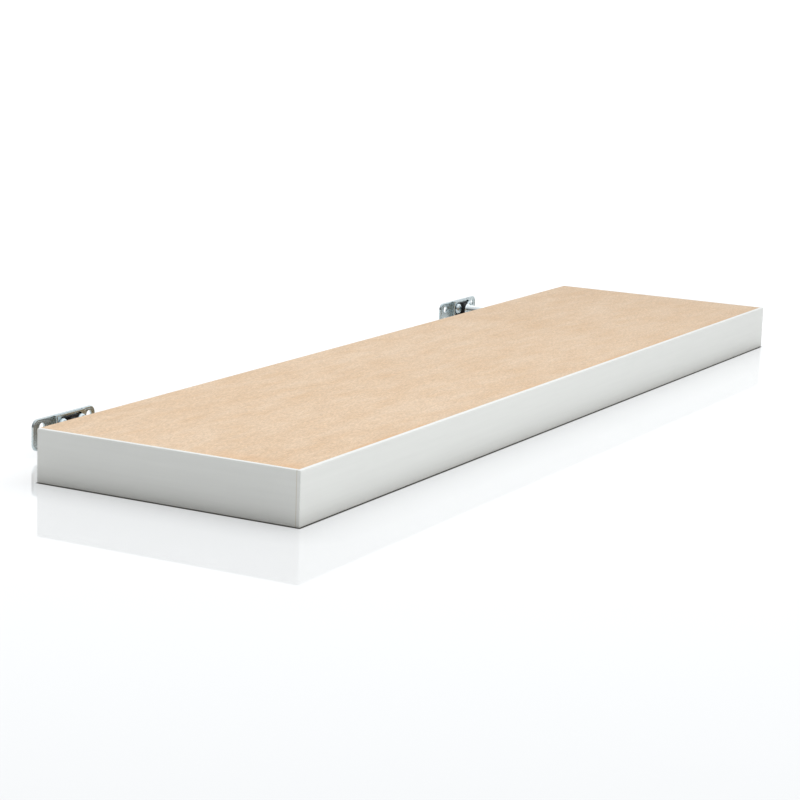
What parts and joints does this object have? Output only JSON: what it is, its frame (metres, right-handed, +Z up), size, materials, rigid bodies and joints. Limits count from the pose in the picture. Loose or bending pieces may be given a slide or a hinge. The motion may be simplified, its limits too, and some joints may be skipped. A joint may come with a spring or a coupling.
{
  "type": "wall shelf",
  "caption": "Thick wall shelf board with an edged front and ends, and concealed rod brackets drawn part of the way out of its back edge.",
  "frame": {"origin": "centre of the board's underside", "axes": "+X along the board's length, +Y from the front edge towards the wall, +Z up"},
  "size_m": [0.9, 0.2938, 0.04],
  "materials": {
    "hardboard_skin": "raw matt",
    "frame_wood": "raw matt",
    "core_paper": "raw matt",
    "edging_plastic": "satin",
    "zinc_plate": "bright zinc",
    "zinc_rod": "bright zinc",
    "zinc_screw": "bright zinc",
    "black_screw": "black oxide",
    "black_plastic": "moulded"
  },
  "bodies": {
    "shelf": {"top_skin": "hardboard_skin", "bottom_skin": "hardboard_skin", "front_rail": "frame_wood", "back_rail": "frame_wood", "left_end_rail": "frame_wood", "right_end_rail": "frame_wood", "left_bracket_block": "frame_wood", "right_bracket_block": "frame_wood", "honeycomb_core": "core_paper", "front_edging": "edging_plastic", "left_edging": "edging_plastic", "right_edging": "edging_plastic"},
    "left_rod": {"left_support_rod": "zinc_rod"},
    "left_carrier": {"left_rod_carrier": "black_plastic", "left_slider_plate": "zinc_plate", "left_tilt_pin": "zinc_rod"},
    "left_wall_bracket": {"left_wall_plate": "zinc_plate", "left_housing": "zinc_plate"},
    "left_clamp_screw_a": {"left_clamp_screw_a": "zinc_screw"},
    "left_clamp_screw_b": {"left_clamp_screw_b": "zinc_screw"},
    "left_height_screw": {"left_height_screw": "black_screw"},
    "left_tilt_screw": {"left_tilt_screw": "black_screw"},
    "right_rod": {"right_support_rod": "zinc_rod"},
    "right_carrier": {"right_rod_carrier": "black_plastic", "right_slider_plate": "zinc_plate", "right_tilt_pin": "zinc_rod"},
    "right_wall_bracket": {"right_wall_plate": "zinc_plate", "right_housing": "zinc_plate"},
    "right_clamp_screw_a": {"right_clamp_screw_a": "zinc_screw"},
    "right_clamp_screw_b": {"right_clamp_screw_b": "zinc_screw"},
    "right_height_screw": {"right_height_screw": "black_screw"},
    "right_tilt_screw": {"right_tilt_screw": "black_screw"}
  },
  "joints": [
    {"name": "left_pull", "type": "slide", "parent": "shelf", "child": "left_rod", "axis": [0, 1, 0], "range_m": [-0.0496, 0.064]},
    {"name": "left_tilt", "type": "hinge", "parent": "left_rod", "child": "left_carrier", "pos_m": [-0.35, 0.1538, 0.02], "axis": [1, 0, 0], "range_deg": [-1.5, 1.5]},
    {"name": "left_height", "type": "slide", "parent": "left_carrier", "child": "left_wall_bracket", "axis": [0, 0, 1], "range_m": [-0.0005, 0.0055]},
    {"name": "left_height_screw_turn", "type": "hinge", "parent": "left_carrier", "child": "left_height_screw", "pos_m": [-0.3554, 0.152, 0.013], "axis": [0, 0, 1], "range_deg": [-2830, 260]},
    {"name": "left_tilt_screw_turn", "type": "hinge", "parent": "left_carrier", "child": "left_tilt_screw", "pos_m": [-0.35, 0.1514, 0.01485], "axis": [0, 0, 1], "range_deg": [-46, 46]},
    {"name": "left_clamp_a_turn", "type": "hinge", "parent": "left_carrier", "child": "left_clamp_screw_a", "pos_m": [-0.3617, 0.15415, 0.0218], "axis": [0, -1, 0], "range_deg": [0, 360]},
    {"name": "left_clamp_b_turn", "type": "hinge", "parent": "left_carrier", "child": "left_clamp_screw_b", "pos_m": [-0.3383, 0.15415, 0.0218], "axis": [0, -1, 0], "range_deg": [0, 360]},
    {"name": "right_pull", "type": "slide", "parent": "shelf", "child": "right_rod", "axis": [0, 1, 0], "range_m": [-0.0738, 0.04]},
    {"name": "right_tilt", "type": "hinge", "parent": "right_rod", "child": "right_carrier", "pos_m": [0.35, 0.178, 0.02], "axis": [1, 0, 0], "range_deg": [-1.5, 1.5]},
    {"name": "right_height", "type": "slide", "parent": "right_carrier", "child": "right_wall_bracket", "axis": [0, 0, 1], "range_m": [-0.0005, 0.0055]},
    {"name": "right_height_screw_turn", "type": "hinge", "parent": "right_carrier", "child": "right_height_screw", "pos_m": [0.3446, 0.1762, 0.013], "axis": [0, 0, 1], "range_deg": [-2830, 260]},
    {"name": "right_tilt_screw_turn", "type": "hinge", "parent": "right_carrier", "child": "right_tilt_screw", "pos_m": [0.35, 0.1756, 0.01485], "axis": [0, 0, 1], "range_deg": [-46, 46]},
    {"name": "right_clamp_a_turn", "type": "hinge", "parent": "right_carrier", "child": "right_clamp_screw_a", "pos_m": [0.3383, 0.17835, 0.0218], "axis": [0, -1, 0], "range_deg": [0, 360]},
    {"name": "right_clamp_b_turn", "type": "hinge", "parent": "right_carrier", "child": "right_clamp_screw_b", "pos_m": [0.3617, 0.17835, 0.0218], "axis": [0, -1, 0], "range_deg": [0, 360]}
  ],
  "couplings": [
    {"joint": "left_height_screw_turn", "follows": "left_height", "rad_per_m": -8976},
    {"joint": "left_tilt_screw_turn", "follows": "left_tilt", "ratio": 30.159},
    {"joint": "right_height_screw_turn", "follows": "right_height", "rad_per_m": -8976},
    {"joint": "right_tilt_screw_turn", "follows": "right_tilt", "ratio": 30.159}
  ]
}
